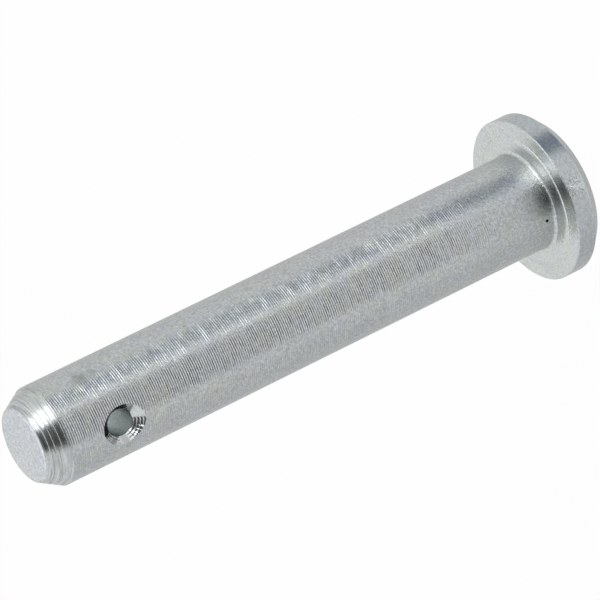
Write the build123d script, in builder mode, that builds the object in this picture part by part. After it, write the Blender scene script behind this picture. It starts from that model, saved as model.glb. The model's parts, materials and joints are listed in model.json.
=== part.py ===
"""Clevis pin: a headed steel pin with a countersunk cross hole for a cotter.

The pin is turned from one bar. It stands on its head, so +Z runs from the
head to the tip, and the origin is the centre of the seat, the raised ring
under the head that bears on the clevis. The cross hole runs along X.
Lengths are in millimetres and angles in degrees.
"""
import os
from math import radians, tan

from build123d import *

# Shank and tip
shank_diameter = 11.9        # turned 0.1 under the nominal 12, so that it slides into a 12 mm hole
shank_length = 70.0          # from the seat to the tip face
tip_chamfer_length = 2.7     # along the axis
tip_chamfer_angle = 30.0     # from the axis
tip_face_edge_radius = 0.5   # the tip face rolls over into the chamfer
tip_shoulder_radius = 0.2    # the chamfer meets the shank at a crisper edge

# Head
head_diameter = 20.0
head_height = 4.1            # from the seat to the top of the head
head_chamfer = 1.5           # at 45 degrees, round the top of the head
head_edge_radius = 0.25      # softens both edges of that chamfer
seat_diameter = 16.0         # raised ring that bears on the clevis
seat_step = 0.15             # the rest of the underside is this much lower
rim_break = 0.12             # sharp corner between the underside and the rim
underhead_radius = 0.4       # where the shank runs into the seat

# Cross hole for the cotter
cotter_hole_diameter = 3.2
cotter_hole_from_tip = 9.8   # tip face to the axis of the hole
countersink_diameter = 5.5   # at the level of the shank's outermost line
countersink_angle = 90.0     # full angle of the cone

# Worked out from the dimensions above
shank_radius = shank_diameter / 2
head_radius = head_diameter / 2
seat_radius = seat_diameter / 2
shoulder_height = shank_length - tip_chamfer_length
tip_face_radius = shank_radius - tip_chamfer_length * tan(radians(tip_chamfer_angle))
cotter_hole_height = shank_length - cotter_hole_from_tip


def corner(section, radius, height):
    """The corner of a half section that lies at a radius and a height."""
    return section.vertices().filter_by(
        lambda vertex: abs(vertex.X - radius) < 1e-4 and abs(vertex.Y - height) < 1e-4
    )


with BuildPart() as clevis_pin:
    # Half section of the turned pin, from the head's top up to the tip.
    with BuildSketch(Plane.XZ) as section:
        with BuildLine():
            Polyline(
                (0, -head_height),
                (head_radius, -head_height),
                (head_radius, -seat_step),
                (seat_radius + seat_step, -seat_step),
                (seat_radius, 0),
                (shank_radius, 0),
                (shank_radius, shoulder_height),
                (tip_face_radius, shank_length),
                (0, shank_length),
                close=True,
            )
        make_face()

        # Head: the wide chamfer on top and the light break at the underside.
        chamfer(corner(section, head_radius, -head_height), head_chamfer)
        chamfer(corner(section, head_radius, -seat_step), rim_break)
        fillet(
            corner(section, head_radius, head_chamfer - head_height)
            + corner(section, head_radius - head_chamfer, -head_height),
            head_edge_radius,
        )

        # Shank: the fillet into the seat and the softened edges of the tip.
        fillet(corner(section, shank_radius, 0), underhead_radius)
        fillet(corner(section, shank_radius, shoulder_height), tip_shoulder_radius)
        fillet(corner(section, tip_face_radius, shank_length), tip_face_edge_radius)
    revolve(axis=Axis.Z)

    # Cross hole, drilled right through and countersunk where it breaks out on each side.
    with Locations(Plane.XY.offset(cotter_hole_height)):
        with PolarLocations(shank_radius, 2):
            with Locations(Rotation(0, 90, 0)):
                CounterSinkHole(
                    radius=cotter_hole_diameter / 2,
                    counter_sink_radius=countersink_diameter / 2,
                    depth=shank_diameter,
                    counter_sink_angle=countersink_angle,
                )

clevis_pin.part.label = "clevis_pin"

os.makedirs("parts", exist_ok=True)
export_step(clevis_pin.part, "parts/clevis_pin.step")
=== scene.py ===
"""Looks of the clevis pin: one turned steel pin, zinc plated, with its turning marks.

The pin stands on its head, with +Z towards the tip and the cross hole along X.
Sizes are in millimetres unless a name says otherwise, and MM turns them to metres.
"""

import json
import math
import random

import bpy
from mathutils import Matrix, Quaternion, Vector, noise


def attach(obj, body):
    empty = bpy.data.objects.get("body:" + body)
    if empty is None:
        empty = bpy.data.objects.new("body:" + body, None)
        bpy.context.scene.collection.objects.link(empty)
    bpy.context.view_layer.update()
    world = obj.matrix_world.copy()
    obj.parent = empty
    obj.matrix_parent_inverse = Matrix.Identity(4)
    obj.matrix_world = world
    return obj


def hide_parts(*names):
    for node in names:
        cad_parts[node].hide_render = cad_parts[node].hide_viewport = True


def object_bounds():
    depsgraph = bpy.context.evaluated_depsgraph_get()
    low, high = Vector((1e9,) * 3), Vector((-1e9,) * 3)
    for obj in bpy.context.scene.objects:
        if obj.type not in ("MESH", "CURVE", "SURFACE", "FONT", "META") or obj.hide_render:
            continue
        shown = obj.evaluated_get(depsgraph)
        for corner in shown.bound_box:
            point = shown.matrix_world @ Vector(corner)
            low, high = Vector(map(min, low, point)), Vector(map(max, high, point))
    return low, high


MM = 0.001
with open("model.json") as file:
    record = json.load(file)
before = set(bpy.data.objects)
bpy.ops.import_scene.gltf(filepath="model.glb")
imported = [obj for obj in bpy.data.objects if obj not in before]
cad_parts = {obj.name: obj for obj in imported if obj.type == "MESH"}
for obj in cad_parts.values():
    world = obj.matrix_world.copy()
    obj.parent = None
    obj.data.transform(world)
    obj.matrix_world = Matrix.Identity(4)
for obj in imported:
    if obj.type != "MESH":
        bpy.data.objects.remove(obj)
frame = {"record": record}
cad_low, cad_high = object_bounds()
mounts = {mount["name"]: mount for mount in frame["record"]["mounts"]}

# Sizes that the frame gives
tip_height = cad_high.z / MM
head_top = cad_low.z / MM
head_radius = cad_high.y / MM
shank_radius = mounts["shank"]["dims"]["r_mm"]
hole_height = mounts["cotter_hole"]["pos_m"][2] / MM
hole_radius = mounts["cotter_hole"]["dims"]["r_mm"]
bore_half_length = mounts["cotter_hole"]["dims"]["length_mm"] / 2

# Sizes of the turned form
tip_chamfer_length = 2.7
tip_chamfer_angle = 30.0     # from the axis
tip_face_edge_radius = 0.5
tip_shoulder_radius = 0.2
underhead_radius = 0.4
seat_radius = 8.0
seat_step = 0.15
rim_break = 0.12
head_chamfer = 1.5
head_edge_radius = 0.25
shoulder_height = tip_height - tip_chamfer_length
tip_face_radius = shank_radius - tip_chamfer_length * math.tan(math.radians(tip_chamfer_angle))

ROUND_STEPS = 96             # facets round the axis
HOLE_STEPS = 180             # facets round the cross hole
EDGE_ANGLE = 14.0            # degrees: edges steeper than this shade crisp


def smoothstep(value, low, high):
    share = min(1.0, max(0.0, (value - low) / (high - low)))
    return share * share * (3 - 2 * share)


def turn_apart(angle, other):
    """Degrees between two directions round an axis."""
    return abs((angle - other + 180) % 360 - 180)


# ---------------------------------------------------------------- turned form

def arc(centre, radius, start, end, step=4.0):
    """Points of an arc in the half section, from one angle to another in degrees."""
    count = max(2, math.ceil(abs(end - start) / step))
    angles = [math.radians(start + (end - start) * i / count) for i in range(count + 1)]
    return [(centre[0] + radius * math.cos(a), centre[1] + radius * math.sin(a)) for a in angles]


def rippled(start, end, step, depth, inward):
    """A straight line of the half section, cut inward by depth(mm along it) at each step."""
    length = math.dist(start, end)
    count = max(1, round(length / step))
    points = []
    for i in range(count + 1):
        share = i / count
        cut = depth(share * length)
        points.append((start[0] + (end[0] - start[0]) * share + inward[0] * cut,
                       start[1] + (end[1] - start[1]) * share + inward[1] * cut))
    return points


def faint_rings(seed, pitch, depth):
    """Depth of the faint uneven rings that facing leaves, as a function of the place across them."""
    rng = random.Random(seed)
    waves = [(pitch * rng.uniform(0.6, 1.9), rng.uniform(0, 2 * math.pi), rng.uniform(0.5, 1))
             for _ in range(5)]
    total = sum(weight for _, _, weight in waves)

    def cut(place):
        swing = sum(w * math.sin(2 * math.pi * place / length + phase) for length, phase, w in waves)
        return depth * (0.5 + 0.5 * swing / total)
    return cut


def groove(place, centre, half_width, depth):
    """Depth of one tool line with sloping sides."""
    return depth * max(0.0, 1 - abs(place - centre) / half_width)


# Feed marks: a round-nosed tool leaves a scallop at each turn, with a sharp crest between.
feed_pitch = 0.285
feed_depth = 0.027
feed_trough = (0.42, 0.58)   # shares of the pitch between which a scallop is deepest
feed_start = 2.6             # height above the seat where the marks begin
feed_faint_length = 3.0      # so far on they stay at their least share of the depth
feed_least_share = 0.35
feed_full = 17.0             # from here up they are at their full depth
feed_end = 67.0
feed_wavers = ((0.9, 0.4), (2.1, 0.6))           # waves per mm, and swing as a share of the depth


def feed_marks():
    """Half section of the marked length: crests on the shank's radius, scallops cut inward."""
    rng = random.Random(12)
    points = []
    height = feed_start
    while height < feed_end:
        pitch = feed_pitch * rng.uniform(0.98, 1.02)
        grown = smoothstep(height, feed_start + feed_faint_length, feed_full)
        cut = feed_depth * rng.uniform(0.86, 1.14) * (feed_least_share + (1 - feed_least_share) * grown)
        points.append((shank_radius, height))
        points += [(shank_radius - cut, height + pitch * share) for share in feed_trough]
        height += pitch
    points.append((shank_radius, min(height, feed_end + 0.1)))
    return points


def vary_feed_marks(pin):
    """The scallops' depth wavers round the pin, so that no mark looks like its neighbour."""
    for vertex in pin.data.vertices:
        place = vertex.co / MM
        radius = math.hypot(place.x, place.y)
        if feed_start < place.z < feed_end and shank_radius - 2 * feed_depth < radius < shank_radius:
            waver = 1 + sum(swing * noise.noise(place * per_mm) for per_mm, swing in feed_wavers)
            moved = (shank_radius - (shank_radius - radius) * waver) / radius
            vertex.co.x *= moved
            vertex.co.y *= moved


# Ridges that the tool left round the tip chamfer, as shares of its slant from the tip face
ridge_places = (0.278, 0.478, 0.733, 0.955)
ridge_half_width = 0.06
ridge_height = 0.022
chamfer_rows = 44


def tip_chamfer():
    """Half section of the chamfer: faint rings, and thin ridges that stand at its full size."""
    slant = math.radians(tip_chamfer_angle)
    slant_length = tip_chamfer_length / math.cos(slant)
    rings = faint_rings(seed=7, pitch=0.3, depth=0.006)
    along = (-math.sin(slant), math.cos(slant))
    inward = (-math.cos(slant), -math.sin(slant))
    first = tip_shoulder_radius * math.tan(slant / 2)
    last = slant_length - tip_face_edge_radius * math.tan((math.pi / 2 - slant) / 2)
    ridges = [slant_length * (1 - place) for place in ridge_places]
    places = [first + (last - first) * i / chamfer_rows for i in range(1, chamfer_rows)]
    places = [place for place in places
              if all(abs(place - ridge) > ridge_half_width * 1.3 for ridge in ridges)]
    for ridge in ridges:
        places += [ridge - ridge_half_width, ridge, ridge + ridge_half_width]
    points = []
    for place in sorted(p for p in places if first < p < last):
        near = [1 - abs(place - ridge) / ridge_half_width for ridge in ridges
                if abs(place - ridge) < ridge_half_width * 1.01]
        standing = max(near, default=0.0)
        cut = ridge_height * (1 - standing) + (rings(place) if standing == 0.0 else 0.0)
        points.append((shank_radius + along[0] * place + inward[0] * cut,
                       shoulder_height + along[1] * place + inward[1] * cut))
    return points


# Underside of the head: the raised seat rolls over at its edge, then come fine tool lines.
seat_roll_start = 7.45
seat_roll_end = 8.3
seat_roll_drop = 0.096
seat_lines = ((8.45, 0.08, 0.02), (8.75, 0.06, 0.014), (9.2, 0.07, 0.01))   # radius, half width, depth


def underside():
    rings = faint_rings(seed=3, pitch=0.45, depth=0.009)

    def seat_cut(place):
        radius = seat_radius - place
        return rings(radius) + seat_roll_drop * smoothstep(radius, seat_roll_start, seat_roll_end)

    def ring_cut(place):
        radius = head_radius - rim_break - place
        return rings(radius) + sum(groove(radius, *line) for line in seat_lines)

    inner_end = shank_radius + underhead_radius
    points = rippled((head_radius - rim_break, -seat_step), (seat_radius + seat_step, -seat_step), 0.05,
                     ring_cut, (0, -1))
    points += rippled((seat_radius, 0), (inner_end, 0), 0.06, seat_cut, (0, -1))
    points += arc((inner_end, underhead_radius), underhead_radius, -90, -180, step=5)[1:]
    return points


def head_outside():
    """Half section of the head's top, its chamfer and its rim."""
    edge = head_edge_radius * math.tan(math.radians(22.5))
    flat_end = head_radius - head_chamfer - edge
    rim_start = head_top + head_chamfer + edge
    points = [(0.0, head_top)]
    points += rippled((0.3, head_top), (flat_end, head_top), 0.3,
                      faint_rings(seed=9, pitch=1.2, depth=0.02), (0, 1))
    points += arc((flat_end, head_top + head_edge_radius), head_edge_radius, -90, -45, step=9)[1:]
    points += arc((head_radius - head_edge_radius, rim_start), head_edge_radius, -45, 0, step=9)
    points += rippled((head_radius, rim_start + 0.2), (head_radius, -seat_step - rim_break), 0.16,
                      faint_rings(seed=4, pitch=0.6, depth=0.004), (-1, 0))
    return points


def tip_end():
    """Half section of the tip: rounded shoulder, chamfer, rounded edge and faced end."""
    slant = math.radians(tip_chamfer_angle)
    set_back = tip_shoulder_radius * math.tan(slant / 2)
    face_end = tip_face_radius - tip_face_edge_radius * math.tan((math.pi / 2 - slant) / 2)
    points = arc((shank_radius - tip_shoulder_radius, shoulder_height - set_back), tip_shoulder_radius,
                 0, tip_chamfer_angle, step=8)
    points += tip_chamfer()
    points += arc((face_end, tip_height - tip_face_edge_radius), tip_face_edge_radius,
                  tip_chamfer_angle, 90, step=6)
    points += rippled((face_end - 0.15, tip_height), (0.2, tip_height), 0.15,
                      faint_rings(seed=21, pitch=0.5, depth=0.006), (0, -1))
    points.append((0.0, tip_height))
    return points


def turned_section():
    """Half section of the pin as (radius, height) points, from the head's top to the tip face."""
    plain_collar = [(shank_radius, height) for height in (1.0, 1.8)]
    return head_outside() + underside() + plain_collar + feed_marks() + tip_end()


def lathe(name, section, steps):
    """A closed mesh turned about Z from a half section whose ends lie on the axis."""
    angles = [2 * math.pi * i / steps for i in range(steps)]
    vertices, faces, rings = [], [], []
    for radius, height in section:
        if radius < 1e-6:
            rings.append([len(vertices)])
            vertices.append((0.0, 0.0, height * MM))
        else:
            rings.append(list(range(len(vertices), len(vertices) + steps)))
            vertices += [(radius * MM * math.cos(a), radius * MM * math.sin(a), height * MM)
                         for a in angles]
    for lower, upper in zip(rings, rings[1:]):
        for i in range(steps):
            j = (i + 1) % steps
            ring = [lower[i % len(lower)], lower[j % len(lower)],
                    upper[j % len(upper)], upper[i % len(upper)]]
            faces.append(list(dict.fromkeys(ring)))
    mesh = bpy.data.meshes.new(name)
    mesh.from_pydata(vertices, [], faces)
    piece = bpy.data.objects.new(name, mesh)
    bpy.context.scene.collection.objects.link(piece)
    return piece


# Knocked edges: how far from the edge it reaches, bumps per mm, and how far it moves the surface
shoulder_reach, rim_reach = 0.35, 0.3
knocks_per_mm = 2.2
shoulder_sunk_share, rim_sunk_share = 0.0022, 0.00352
shoulder_lift = 0.05


def nick_edges(pin):
    """Small unevenness of the tip's shoulder and of the rim, where sharp edges were knocked."""
    for vertex in pin.data.vertices:
        place = vertex.co / MM
        radius = math.hypot(place.x, place.y)
        on_shank = radius < shank_radius + 0.1
        at_shoulder = 1 - min(1.0, abs(place.z - shoulder_height) / shoulder_reach) if on_shank else 0.0
        at_rim = 1 - min(1.0, math.hypot(radius - head_radius, place.z + seat_step) / rim_reach)
        if at_shoulder > 0 or at_rim > 0:
            knock = noise.noise(place * knocks_per_mm) + 0.5 * noise.noise(place * knocks_per_mm * 2.3)
            sunk = max(0.0, knock) * (shoulder_sunk_share * at_shoulder + rim_sunk_share * at_rim)
            vertex.co.x *= 1 - sunk
            vertex.co.y *= 1 - sunk
            vertex.co.z += shoulder_lift * MM * knock * at_shoulder


# ------------------------------------------------------------------ cross hole

# Seen along the hole's axis: 180 degrees is the side nearest the head and 270 the side towards -Y.
cone_ridge_pitch = 0.27      # thin ridges between the tool rings of the countersink
cone_ridge_half_width = 0.025
cone_ridge_height = 0.008
plain_side = 0.1             # share of that height on the smooth side
near_ridges = (220, 32, 40)             # turn, and the degrees from it where they are whole and gone
coarse_ridges = (320, 20, 30, 2.5)      # the same, and how much higher they are there
chatter_height = 0.03
# Chatter marks run across the rings: the turn in degrees, and how far out from the bore each begins
chatter_marks = {208: 0.6, 220: 0.5, 232: 0.45, 242: 0.0}


def cone_lift(turn, step):
    """How far the countersink's surface stands proud at one place: its ridges and its chatter marks."""
    near = 1 - smoothstep(turn_apart(turn, near_ridges[0]), *near_ridges[1:])
    coarse = 1 - smoothstep(turn_apart(turn, coarse_ridges[0]), *coarse_ridges[1:3])
    ridged = max(near, coarse * coarse_ridges[3], plain_side)
    from_ridge = abs((step / cone_ridge_pitch) % 1.0 - 0.5) * cone_ridge_pitch
    lift = cone_ridge_height * ridged * max(0.0, 1 - from_ridge / cone_ridge_half_width)
    begins = chatter_marks.get(round(turn))
    if begins is not None and step > begins:
        lift += chatter_height
    return lift


def hole_cutter():
    """The space of the cross hole: bore, two countersinks and their tool marks."""
    outside = shank_radius + 1.0
    depth = outside - bore_half_length
    ridges = [cone_ridge_pitch * (i + 0.5) for i in range(round(depth / cone_ridge_pitch))]
    steps = [ridge + side * cone_ridge_half_width for ridge in ridges for side in (-1, 0, 1)]
    right = [(hole_radius + step, bore_half_length + step) for step in [0.0] + steps + [depth]]
    left = [(radius, -height) for radius, height in reversed(right)]
    cutter = lathe("hole_cutter", [(0.0, -outside)] + left + right + [(0.0, outside)], HOLE_STEPS)
    for vertex in cutter.data.vertices:
        x, y, z = vertex.co / MM
        radius = math.hypot(x, y)
        if hole_radius + 0.02 < radius and abs(z) < outside - 0.02:
            turn = math.degrees(math.atan2(y, x)) % 360
            lift = cone_lift(turn, radius - hole_radius) * math.sqrt(0.5)
            x, y = x * (radius - lift) / radius, y * (radius - lift) / radius
            z += math.copysign(lift, z)
        vertex.co = Vector((z, y, x)) * MM + Vector((0, 0, hole_height * MM))
    cutter.data.flip_normals()
    return cutter


# One deep pit in the plate, beside the head
pit_azimuth, pit_height, pit_radius = -4.1, 1.2, 0.2


def pit_cutter():
    outline = arc((0, 0), pit_radius, -90, 90, step=30)
    ball = lathe("pit_cutter", [(0.0, -pit_radius)] + outline[1:-1] + [(0.0, pit_radius)], 10)
    centre = on_pin(pit_azimuth, pit_height, shank_radius + 0.02)
    for vertex in ball.data.vertices:
        vertex.co += centre
    return ball


def cut(pin, cutter):
    step = pin.modifiers.new("cut", "BOOLEAN")
    step.object = cutter
    step.operation = "DIFFERENCE"
    step.solver = "EXACT"
    pin_cut = bpy.data.meshes.new_from_object(pin.evaluated_get(bpy.context.evaluated_depsgraph_get()))
    pin.modifiers.clear()
    pin.data = pin_cut
    bpy.data.objects.remove(cutter)


# ------------------------------------------------------------------- materials

def linear(colour):
    """A colour written as an sRGB hex value, as the linear RGBA that a shader takes."""
    parts = [int(colour[i:i + 2], 16) / 255 for i in (1, 3, 5)]
    return tuple(c / 12.92 if c <= 0.04045 else ((c + 0.055) / 1.055) ** 2.4 for c in parts) + (1.0,)


def add(tree, kind, inputs=None, **settings):
    """Adds a node. Settings are its own properties, inputs are values or the sockets that feed it."""
    node = tree.nodes.new(kind)
    for name, value in settings.items():
        setattr(node, name, value)
    for name, value in (inputs or {}).items():
        if isinstance(value, bpy.types.NodeSocket):
            tree.links.new(value, node.inputs[name])
        else:
            node.inputs[name].default_value = value
    return node


def on_pin(azimuth, height, radius=shank_radius):
    """A place on the pin's surface, in metres."""
    a = math.radians(azimuth)
    return Vector((radius * math.cos(a), radius * math.sin(a), height)) * MM


# Sizes of the pattern in the plate. Crystals and hair lines are ten times coarser than real, to show.
cloud_size = 2.6
crystal_size = 0.3
hair_width = 0.16
speck_cell = 0.9
scratch_width = 0.24
scratch_height = 40.0        # as a multiple of the grain's relief
coarsest_grain = 2.6         # beside the seat, as a multiple of the grain's relief


def closeness(tree, place, centre, size):
    """1 inside a ragged spot of about one size in mm, falling to 0 at its edge."""
    edge = add(tree, "ShaderNodeTexNoise", {"Vector": place, "Scale": 1 / (0.5 * MM), "Detail": 3.0})
    away = add(tree, "ShaderNodeVectorMath", {0: place, 1: centre}, operation="DISTANCE")
    ragged = add(tree, "ShaderNodeMath", {0: edge.outputs["Fac"], 1: 1.4 * size * MM,
                                          2: away.outputs["Value"]}, operation="MULTIPLY_ADD")
    return add(tree, "ShaderNodeMapRange", {"Value": ragged.outputs[0], "From Min": 0.8 * size * MM,
                                            "From Max": 1.9 * size * MM, "To Min": 1.0, "To Max": 0.0},
               interpolation_type="SMOOTHSTEP").outputs[0]


def stained(tree, colour, place, marks):
    """Puts stains on a colour: each mark is (centre, size in mm, stain colour, strength)."""
    for centre, size, stain, strength in marks:
        share = add(tree, "ShaderNodeMath", {0: closeness(tree, place, centre, size), 1: strength},
                    operation="MULTIPLY").outputs[0]
        colour = add(tree, "ShaderNodeMix", {0: share, 6: colour, 7: linear(stain)},
                     data_type="RGBA").outputs[2]
    return colour


def hair_lines(tree, place, run):
    """Hair lines of the tool: long round the axis, thin along it and across it."""
    hair = hair_width * MM
    length = run * MM
    flat = add(tree, "ShaderNodeVectorMath", {0: place, 1: (1, 1, 0)}, operation="MULTIPLY").outputs[0]
    from_axis = add(tree, "ShaderNodeVectorMath", {0: flat}, operation="LENGTH").outputs["Value"]
    stretched = add(tree, "ShaderNodeVectorMath", {0: place, 1: (1 / length, 1 / length, 1 / hair)},
                    operation="MULTIPLY").outputs[0]
    across = add(tree, "ShaderNodeMath", {0: from_axis, 1: 1 / hair}, operation="MULTIPLY").outputs[0]
    return add(tree, "ShaderNodeTexNoise", {"Vector": stretched, "W": across, "Scale": 1.0, "Detail": 2.0},
               noise_dimensions="4D").outputs["Fac"]


def clouded(tree, clouds, cool, warm):
    """The passivation's tint, drifting between two colours."""
    tint = add(tree, "ShaderNodeValToRGB", {"Fac": clouds})
    cool_end, warm_end = tint.color_ramp.elements
    cool_end.position, cool_end.color = 0.4, linear(cool)
    warm_end.position, warm_end.color = 0.6, linear(warm)
    return tint.outputs["Color"]


def specked(tree, colour, place):
    """Sparse dark specks in the plate, each in a cell of its own."""
    cells = add(tree, "ShaderNodeTexVoronoi", {"Vector": place, "Scale": 1 / (speck_cell * MM)})
    chosen = add(tree, "ShaderNodeSeparateColor", {"Color": cells.outputs["Color"]})
    size = add(tree, "ShaderNodeMapRange", {"Value": chosen.outputs[0], "From Min": 0.72, "From Max": 1.0,
                                            "To Min": 0.0, "To Max": 0.16})
    inside = add(tree, "ShaderNodeMath", {0: size.outputs[0], 1: cells.outputs["Distance"]},
                 operation="SUBTRACT")
    speck = add(tree, "ShaderNodeMapRange", {"Value": inside.outputs[0], "From Min": 0.0, "From Max": 0.05,
                                             "To Min": 0.0, "To Max": 0.55})
    return add(tree, "ShaderNodeMix", {0: speck.outputs[0], 6: colour, 7: linear("#6E736E")},
               data_type="RGBA").outputs[2]


def coarser_near_seat(tree, height, place, below):
    """Near the seat the tool rubbed, and the grain stands higher."""
    above_seat = add(tree, "ShaderNodeSeparateXYZ", {0: place}).outputs["Z"]
    coarse = add(tree, "ShaderNodeMapRange", {"Value": above_seat, "From Min": 0.4 * below * MM,
                                              "From Max": below * MM, "To Min": coarsest_grain,
                                              "To Max": 1.0})
    return add(tree, "ShaderNodeMath", {0: height, 1: coarse.outputs[0]}, operation="MULTIPLY").outputs[0]


def scraped(tree, height, place, spot):
    """A scraped patch: fine scratches along the axis."""
    scrape = scratch_width * MM
    drawn = add(tree, "ShaderNodeVectorMath", {0: place, 1: (1 / scrape, 1 / scrape, 0.2 / scrape)},
                operation="MULTIPLY").outputs[0]
    scratches = add(tree, "ShaderNodeTexNoise", {"Vector": drawn, "Scale": 1.0, "Detail": 2.0})
    deep = add(tree, "ShaderNodeMath", {0: closeness(tree, place, *spot), 1: scratch_height},
               operation="MULTIPLY")
    return add(tree, "ShaderNodeMath", {0: scratches.outputs["Fac"], 1: deep.outputs[0], 2: height},
               operation="MULTIPLY_ADD").outputs[0]


def zinc_plate(name, cool, warm, roughness, anisotropy=0.0, relief=0.01, grain=0.1, hair_share=0.3,
               hair_run=0.4, coarse_below=None, marks=(), scrape=None):
    """Turned steel with a clear passivated zinc plate: a light grey satin metal.

    The passivation leaves faint bluish and yellowish clouds. The zinc crystals give the plate its
    grain, and the tool leaves hair lines round the axis under it.
    """
    material = bpy.data.materials.new(name)
    material.use_nodes = True
    tree = material.node_tree
    tree.nodes.clear()
    place = add(tree, "ShaderNodeTexCoord").outputs["Object"]
    clouds = add(tree, "ShaderNodeTexNoise", {"Vector": place, "Scale": 1 / (cloud_size * MM),
                                              "Detail": 4.0, "Roughness": 0.6}).outputs["Fac"]
    crystals = add(tree, "ShaderNodeTexNoise", {"Vector": place, "Scale": 1 / (crystal_size * MM),
                                                "Detail": 3.0, "Roughness": 0.7}).outputs["Fac"]
    surface = add(tree, "ShaderNodeMix", {0: hair_share, 2: crystals,
                                          3: hair_lines(tree, place, hair_run)}).outputs[0]
    shade = add(tree, "ShaderNodeMapRange", {"Value": surface, "From Min": 0.3, "From Max": 0.7,
                                             "To Min": 1 - 1.5 * grain, "To Max": 1 + grain}).outputs[0]
    colour = add(tree, "ShaderNodeVectorMath", {0: clouded(tree, clouds, cool, warm), 3: shade},
                 operation="SCALE").outputs[0]
    colour = stained(tree, specked(tree, colour, place), place, marks)
    satin = add(tree, "ShaderNodeMapRange", {"Value": clouds, "From Min": 0.3, "From Max": 0.7,
                                             "To Min": roughness * 0.88, "To Max": roughness * 1.12})
    height = surface
    if coarse_below:
        height = coarser_near_seat(tree, height, place, coarse_below)
    if scrape:
        height = scraped(tree, height, place, scrape)
    bump = add(tree, "ShaderNodeBump", {"Height": height, "Distance": relief * MM})
    tangent = add(tree, "ShaderNodeTangent", direction_type="RADIAL", axis="Z")
    shader = add(tree, "ShaderNodeBsdfPrincipled", {
        "Base Color": colour, "Metallic": 1.0, "Roughness": satin.outputs[0], "Anisotropic": anisotropy,
        "Anisotropic Rotation": 0.25, "Tangent": tangent.outputs["Tangent"],
        "Normal": bump.outputs["Normal"]})
    add(tree, "ShaderNodeOutputMaterial", {"Surface": shader.outputs["BSDF"]})
    return material


def shank_plate():
    """Plate over feed marks: highlights spread along the axis, and the grain is coarse near the seat."""
    marks = [
        (on_pin(70.4, 62.2), 1.3, "#7F8A80", 0.55),      # greenish smudge near the tip
        (on_pin(71.5, 60.6), 0.7, "#7F8A80", 0.4),
        (on_pin(82.4, 10.0), 0.12, "#FFFFFF", 0.9),      # bare spot
        (Vector((0, 0, 0)), 5.6, "#BFC9BA", 0.8),        # greenish film near the head
    ]
    return zinc_plate("zinc_plate_turned_shank", "#C3C7CB", "#C5C9C6", roughness=0.27, anisotropy=0.6,
                      relief=0.025, grain=0.24, coarse_below=16.0, marks=marks)


def head_plate():
    """Plate over facing rings: as bright as the shank, with a sparkle from its higher grain."""
    return zinc_plate("zinc_plate_faced_head", "#C0C5C7", "#C5C9C5", roughness=0.26, anisotropy=0.4,
                      relief=0.04, grain=0.18)


def rim_plate():
    """Plate over the smooth turned rim, with one patch scraped bright."""
    scrape = (on_pin(22, -1.4, head_radius), 1.1)
    return zinc_plate("zinc_plate_rim", "#BFC5C8", "#C2C7C9", roughness=0.25, anisotropy=0.3, relief=0.008,
                      grain=0.2, marks=[(*scrape, "#E4E6E8", 0.4)], scrape=scrape)


def chamfer_plate():
    """Plate over the chamfer's long tool rings, which break its highlight into streaks."""
    return zinc_plate("zinc_plate_turned_chamfer", "#BABEC1", "#BDC1BE", roughness=0.25, anisotropy=0.5,
                      relief=0.045, grain=0.3, hair_share=0.8, hair_run=3.0)


def tip_face_plate():
    """Plate over the sawn and faced end: matt and even."""
    return zinc_plate("zinc_plate_matt_tip_face", "#C4C9CE", "#C7CACC", roughness=0.42, relief=0.02,
                      grain=0.26)


def countersink_plate():
    """Plate over the bright cut cone: the glossiest face, with hard-edged reflections."""
    return zinc_plate("zinc_plate_countersink", "#BFC4C6", "#C3C6C2", roughness=0.13, relief=0.004,
                      grain=0.12)


def bore_plate():
    """Thin plate down the drilled bore: greenish grey, and dim because it mirrors only itself. The greenish
    tint is the plate's own; its colour is also painted lighter than the rest of the plate, as painted light
    that lifts the dim bore.
    """
    # painted light: the bore's colour is lighter than the plate elsewhere, standing in for light inside the
    # bore
    return zinc_plate("zinc_plate_drilled_bore", "#CFD6D5", "#D0D6D4", roughness=0.3, grain=0.16)


def pit_near_black():
    """The inside of the pit: nearly black."""
    return zinc_plate("rust_in_the_pit", "#1E1C1A", "#141210", roughness=0.8)


finish_makers = {"shank": shank_plate, "head": head_plate, "rim": rim_plate, "tip_chamfer": chamfer_plate,
                 "tip_face": tip_face_plate, "countersunk": countersink_plate, "drilled": bore_plate,
                 "pit": pit_near_black}


pit_reach = 0.25             # every face of the pit lies within this of its centre
hole_reach = 4.0             # and every face of the cross hole within this height of its axis
below_feed_marks = 0.035     # further in from the shank's surface than any feed mark


def zone_of(centre):
    """Which finish a face has, by where it lies."""
    x, y, z = centre / MM
    radius = math.hypot(x, y)
    from_pit = (centre - on_pin(pit_azimuth, pit_height)).length / MM
    if from_pit < pit_reach and radius < shank_radius - 0.004:
        return "pit"
    if abs(z - hole_height) < hole_reach and radius < shank_radius - below_feed_marks:
        return "drilled" if math.hypot(y, z - hole_height) < hole_radius + 0.01 else "countersunk"
    if z > tip_height - 0.2:
        return "tip_face"
    if z > shoulder_height - 0.05:
        return "tip_chamfer"
    if z > 0.05:
        return "shank"
    if radius > head_radius - rim_break / 2 and z > head_top + head_chamfer:
        return "rim"
    return "head"


def finish_pin(pin):
    pin.data.materials.clear()
    for make_finish in finish_makers.values():
        pin.data.materials.append(make_finish())
    order = list(finish_makers)
    for face in pin.data.polygons:
        face.material_index = order.index(zone_of(face.center))
        face.use_smooth = True
    pin.data.set_sharp_from_angle(angle=math.radians(EDGE_ANGLE))


def make_pin():
    pin = lathe("turned_pin", turned_section(), ROUND_STEPS)
    vary_feed_marks(pin)
    nick_edges(pin)
    cut(pin, hole_cutter())
    cut(pin, pit_cutter())
    finish_pin(pin)
    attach(pin, "root")
    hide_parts("clevis_pin")
    return pin


# ---------------------------------------------------------------- floor, light

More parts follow.
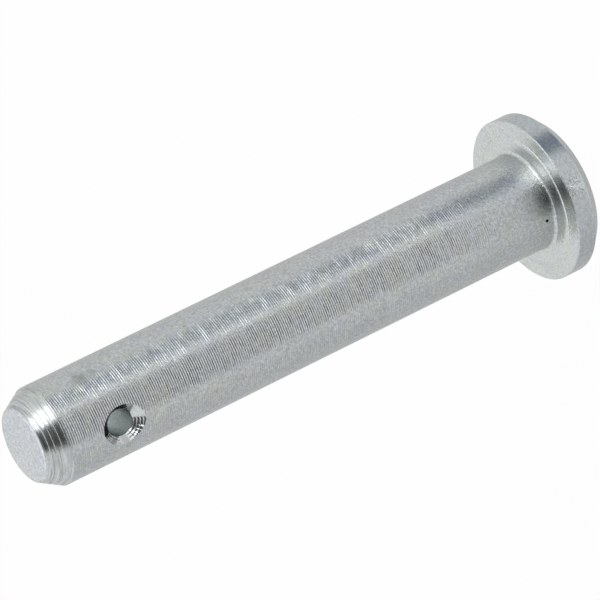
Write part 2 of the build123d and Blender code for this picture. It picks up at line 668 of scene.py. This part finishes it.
def direction(azimuth, elevation=0.0):
    """Unit vector from the pin, with the azimuth from +X towards +Y."""
    a, e = math.radians(azimuth), math.radians(elevation)
    return Vector((math.cos(a) * math.cos(e), math.sin(a) * math.cos(e), math.sin(e)))


def by_kind_of_ray(tree, camera, mirrored, others):
    """A level for camera rays, one for glossy and transmission rays, and one for all others."""
    path = add(tree, "ShaderNodeLightPath").outputs
    both = add(tree, "ShaderNodeMath", {0: path["Is Glossy Ray"], 1: path["Is Transmission Ray"]},
               operation="MAXIMUM").outputs[0]
    level = add(tree, "ShaderNodeMix", {0: both, 2: others, 3: mirrored}).outputs[0]
    return add(tree, "ShaderNodeMix", {0: path["Is Camera Ray"], 2: level, 3: camera}).outputs[0]


def towards(tree, vector, azimuth, full, none):
    """1 within full degrees of an azimuth, falling to 0 at none degrees from it."""
    flat = add(tree, "ShaderNodeVectorMath", {0: vector, 1: (1, 1, 0)}, operation="MULTIPLY").outputs[0]
    unit = add(tree, "ShaderNodeVectorMath", {0: flat}, operation="NORMALIZE").outputs[0]
    likeness = add(tree, "ShaderNodeVectorMath", {0: unit, 1: direction(azimuth)}, operation="DOT_PRODUCT")
    return add(tree, "ShaderNodeMapRange", {"Value": likeness.outputs["Value"],
                                            "From Min": math.cos(math.radians(none)),
                                            "From Max": math.cos(math.radians(full))},
               interpolation_type="SMOOTHSTEP").outputs[0]


def rising(tree, height, low, high):
    """0 below one elevation in degrees, 1 above another, for the height of a unit vector."""
    return add(tree, "ShaderNodeMapRange", {"Value": height, "From Min": math.sin(math.radians(low)),
                                            "From Max": math.sin(math.radians(high))},
               interpolation_type="SMOOTHSTEP").outputs[0]


def overlap(tree, *shares):
    """How far a direction lies in several areas at once."""
    both = shares[0]
    for share in shares[1:]:
        both = add(tree, "ShaderNodeMath", {0: both, 1: share}, operation="MULTIPLY").outputs[0]
    return both


floor_half_width = 3000.0
floor_whiteness = 0.975      # the rest of what the camera sees is the paper with the pin's shadow


def make_floor():
    """White paper. Mirrored rays go through it, to the lower half of the studio round it.

    It is open from below too, so that the head's top can be looked at.
    """
    mesh = bpy.data.meshes.new("floor")
    w, z = floor_half_width * MM, cad_low.z
    mesh.from_pydata([(-w, -w, z), (w, -w, z), (w, w, z), (-w, w, z)], [], [(0, 1, 2, 3)])
    floor = bpy.data.objects.new("floor", mesh)
    bpy.context.scene.collection.objects.link(floor)
    material = bpy.data.materials.new("white_paper_floor")
    material.use_nodes = True
    tree = material.node_tree
    tree.nodes.clear()
    paper = add(tree, "ShaderNodeBsdfDiffuse", {"Color": linear("#E8E8E8")})
    lift = add(tree, "ShaderNodeEmission", {"Color": (1, 1, 1, 1), "Strength": 1.0})
    open_paper = add(tree, "ShaderNodeBsdfTransparent")
    lit = add(tree, "ShaderNodeMixShader", {0: by_kind_of_ray(tree, floor_whiteness, 0.0, 0.0),
                                            1: paper.outputs[0], 2: lift.outputs[0]})
    from_below = add(tree, "ShaderNodeNewGeometry").outputs["Backfacing"]
    passed = add(tree, "ShaderNodeMath", {0: by_kind_of_ray(tree, 0.0, 1.0, 0.0), 1: from_below},
                 operation="MAXIMUM").outputs[0]
    mix = add(tree, "ShaderNodeMixShader", {0: passed, 1: lit.outputs[0], 2: open_paper.outputs[0]})
    add(tree, "ShaderNodeOutputMaterial", {"Surface": mix.outputs[0]})
    mesh.materials.append(material)


# Levels of the studio, where 1 is white
paper_levels = (0.67, 0.87)  # away from the key light, and under it
foot_lift = 0.35             # how much brighter the paper is at the pin's foot
wall_levels = (0.93, 1.08)   # low on the walls, and high on them
glow_lift = 0.6
shadow_depth = 0.65
shadow_tint = (0.8, 0.95, 1.2, 1)               # the unlit patch of paper mirrors bluish
dark_levels = (0.02, 0.25)
scattered_share = 0.6        # of those levels, what lights matt surfaces


def unlit_studio(tree, way, height):
    """Where the studio is dark: the camera's side, and a gap overhead."""
    camera_side = overlap(tree, towards(tree, way, azimuth=17.5, full=25, none=40),
                          rising(tree, height, low=-18, high=-6), rising(tree, height, low=72, high=56))
    overhead = overlap(tree, towards(tree, way, azimuth=-5, full=27, none=42),
                       rising(tree, height, low=42, high=50), rising(tree, height, low=74, high=62))
    return add(tree, "ShaderNodeMath", {0: camera_side, 1: overhead}, operation="MAXIMUM").outputs[0]


def paper_level(tree, way, height, shadow):
    """The white paper below the horizon: brightest under the key light and at the pin's foot."""
    foot = overlap(tree, towards(tree, way, azimuth=10, full=30, none=80),
                   rising(tree, height, low=-34, high=-48), foot_lift)
    spread = add(tree, "ShaderNodeMapRange", {"Value": towards(tree, way, azimuth=60, full=0, none=180),
                                              "To Min": paper_levels[0], "To Max": paper_levels[1]})
    lit = add(tree, "ShaderNodeMath", {0: spread.outputs[0], 1: foot}, operation="ADD").outputs[0]
    return add(tree, "ShaderNodeMix", {0: shadow, 2: lit, 3: 0.0}).outputs[0]


def wall_level(tree, way, height):
    """The white walls above the horizon, with the key light's glow on one of them."""
    glow = overlap(tree, towards(tree, way, azimuth=74, full=14, none=32),
                   rising(tree, height, low=-14, high=-4), rising(tree, height, low=50, high=34), glow_lift)
    walls = add(tree, "ShaderNodeMix", {0: rising(tree, height, low=10, high=32), 2: wall_levels[0],
                                        3: wall_levels[1]})
    return add(tree, "ShaderNodeMath", {0: walls.outputs[0], 1: glow}, operation="ADD").outputs[0]


def make_world():
    """A white studio over white paper. The camera's side and one patch of the paper are unlit."""
    world = bpy.data.worlds.new("studio")
    bpy.context.scene.world = world
    world.use_nodes = True
    tree = world.node_tree
    tree.nodes.clear()
    way = add(tree, "ShaderNodeTexCoord").outputs["Generated"]
    height = add(tree, "ShaderNodeSeparateXYZ", {0: way}).outputs["Z"]
    shadow = overlap(tree, towards(tree, way, azimuth=87, full=6, none=24),
                     rising(tree, height, low=-8, high=-18), shadow_depth)
    lit = add(tree, "ShaderNodeMix", {0: rising(tree, height, low=-18, high=0),
                                      2: paper_level(tree, way, height, shadow),
                                      3: wall_level(tree, way, height)}).outputs[0]
    # what stands in the dark beside the camera is not all black
    shapes = add(tree, "ShaderNodeTexNoise", {"Vector": way, "Scale": 9.0, "Detail": 2.0})
    dim = add(tree, "ShaderNodeMapRange", {"Value": shapes.outputs["Fac"], "From Min": 0.42,
                                           "From Max": 0.66, "To Min": dark_levels[0],
                                           "To Max": dark_levels[1]})
    mirrored = add(tree, "ShaderNodeMix", {0: unlit_studio(tree, way, height), 2: lit,
                                           3: dim.outputs[0]}).outputs[0]
    others = add(tree, "ShaderNodeMath", {0: mirrored, 1: scattered_share}, operation="MULTIPLY").outputs[0]
    strength = by_kind_of_ray(tree, 1.0, mirrored, others)
    colour = add(tree, "ShaderNodeMix", {0: shadow, 6: (1, 1, 1, 1), 7: shadow_tint},
                 data_type="RGBA").outputs[2]
    background = add(tree, "ShaderNodeBackground", {"Color": colour, "Strength": strength})
    add(tree, "ShaderNodeOutputWorld", {"Surface": background.outputs[0]})


light_aim = Vector((0, 0, 33 * MM))


def soft_box(name, azimuth, elevation, distance, width, height, radiance):
    """A rectangular soft light that faces the middle of the pin."""
    lamp = bpy.data.lights.new(name, "AREA")
    lamp.shape = "RECTANGLE"
    lamp.size, lamp.size_y = width * MM, height * MM
    lamp.energy = radiance * math.pi * lamp.size * lamp.size_y
    box = bpy.data.objects.new(name, lamp)
    bpy.context.scene.collection.objects.link(box)
    out = direction(azimuth, elevation)
    box.location = light_aim + out * distance * MM
    box.rotation_mode = "QUATERNION"
    box.rotation_quaternion = (-out).to_track_quat("-Z", "Y")
    box.visible_camera = False


# The view, seen from the pin: azimuth from +X towards +Y, and elevation
camera_azimuth = 28.355
camera_elevation = 26.214
camera_roll = -116.025
camera_distance = 554.94
camera_aim = (-0.53, 0.98, 31.69)
camera_lens = 293.85


def make_camera():
    camera = bpy.data.objects.new("camera", bpy.data.cameras.new("camera"))
    bpy.context.scene.collection.objects.link(camera)
    bpy.context.scene.camera = camera
    camera.data.sensor_width = 36.0
    camera.data.lens = camera_lens
    camera.data.clip_start, camera.data.clip_end = 0.01, 50.0
    out = direction(camera_azimuth, camera_elevation)
    camera.location = Vector(camera_aim) * MM + out * camera_distance * MM
    level = (-out).to_track_quat("-Z", "Y")
    camera.rotation_mode = "QUATERNION"
    camera.rotation_quaternion = level @ Quaternion((0, 0, 1), math.radians(camera_roll))


make_pin()
make_floor()
make_world()
soft_box("key_light", azimuth=70, elevation=27, distance=460, width=270, height=190, radiance=2.4)
soft_box("top_light", azimuth=200, elevation=75, distance=500, width=500, height=500, radiance=0.5)
make_camera()

bpy.context.scene.view_settings.view_transform = "Standard"
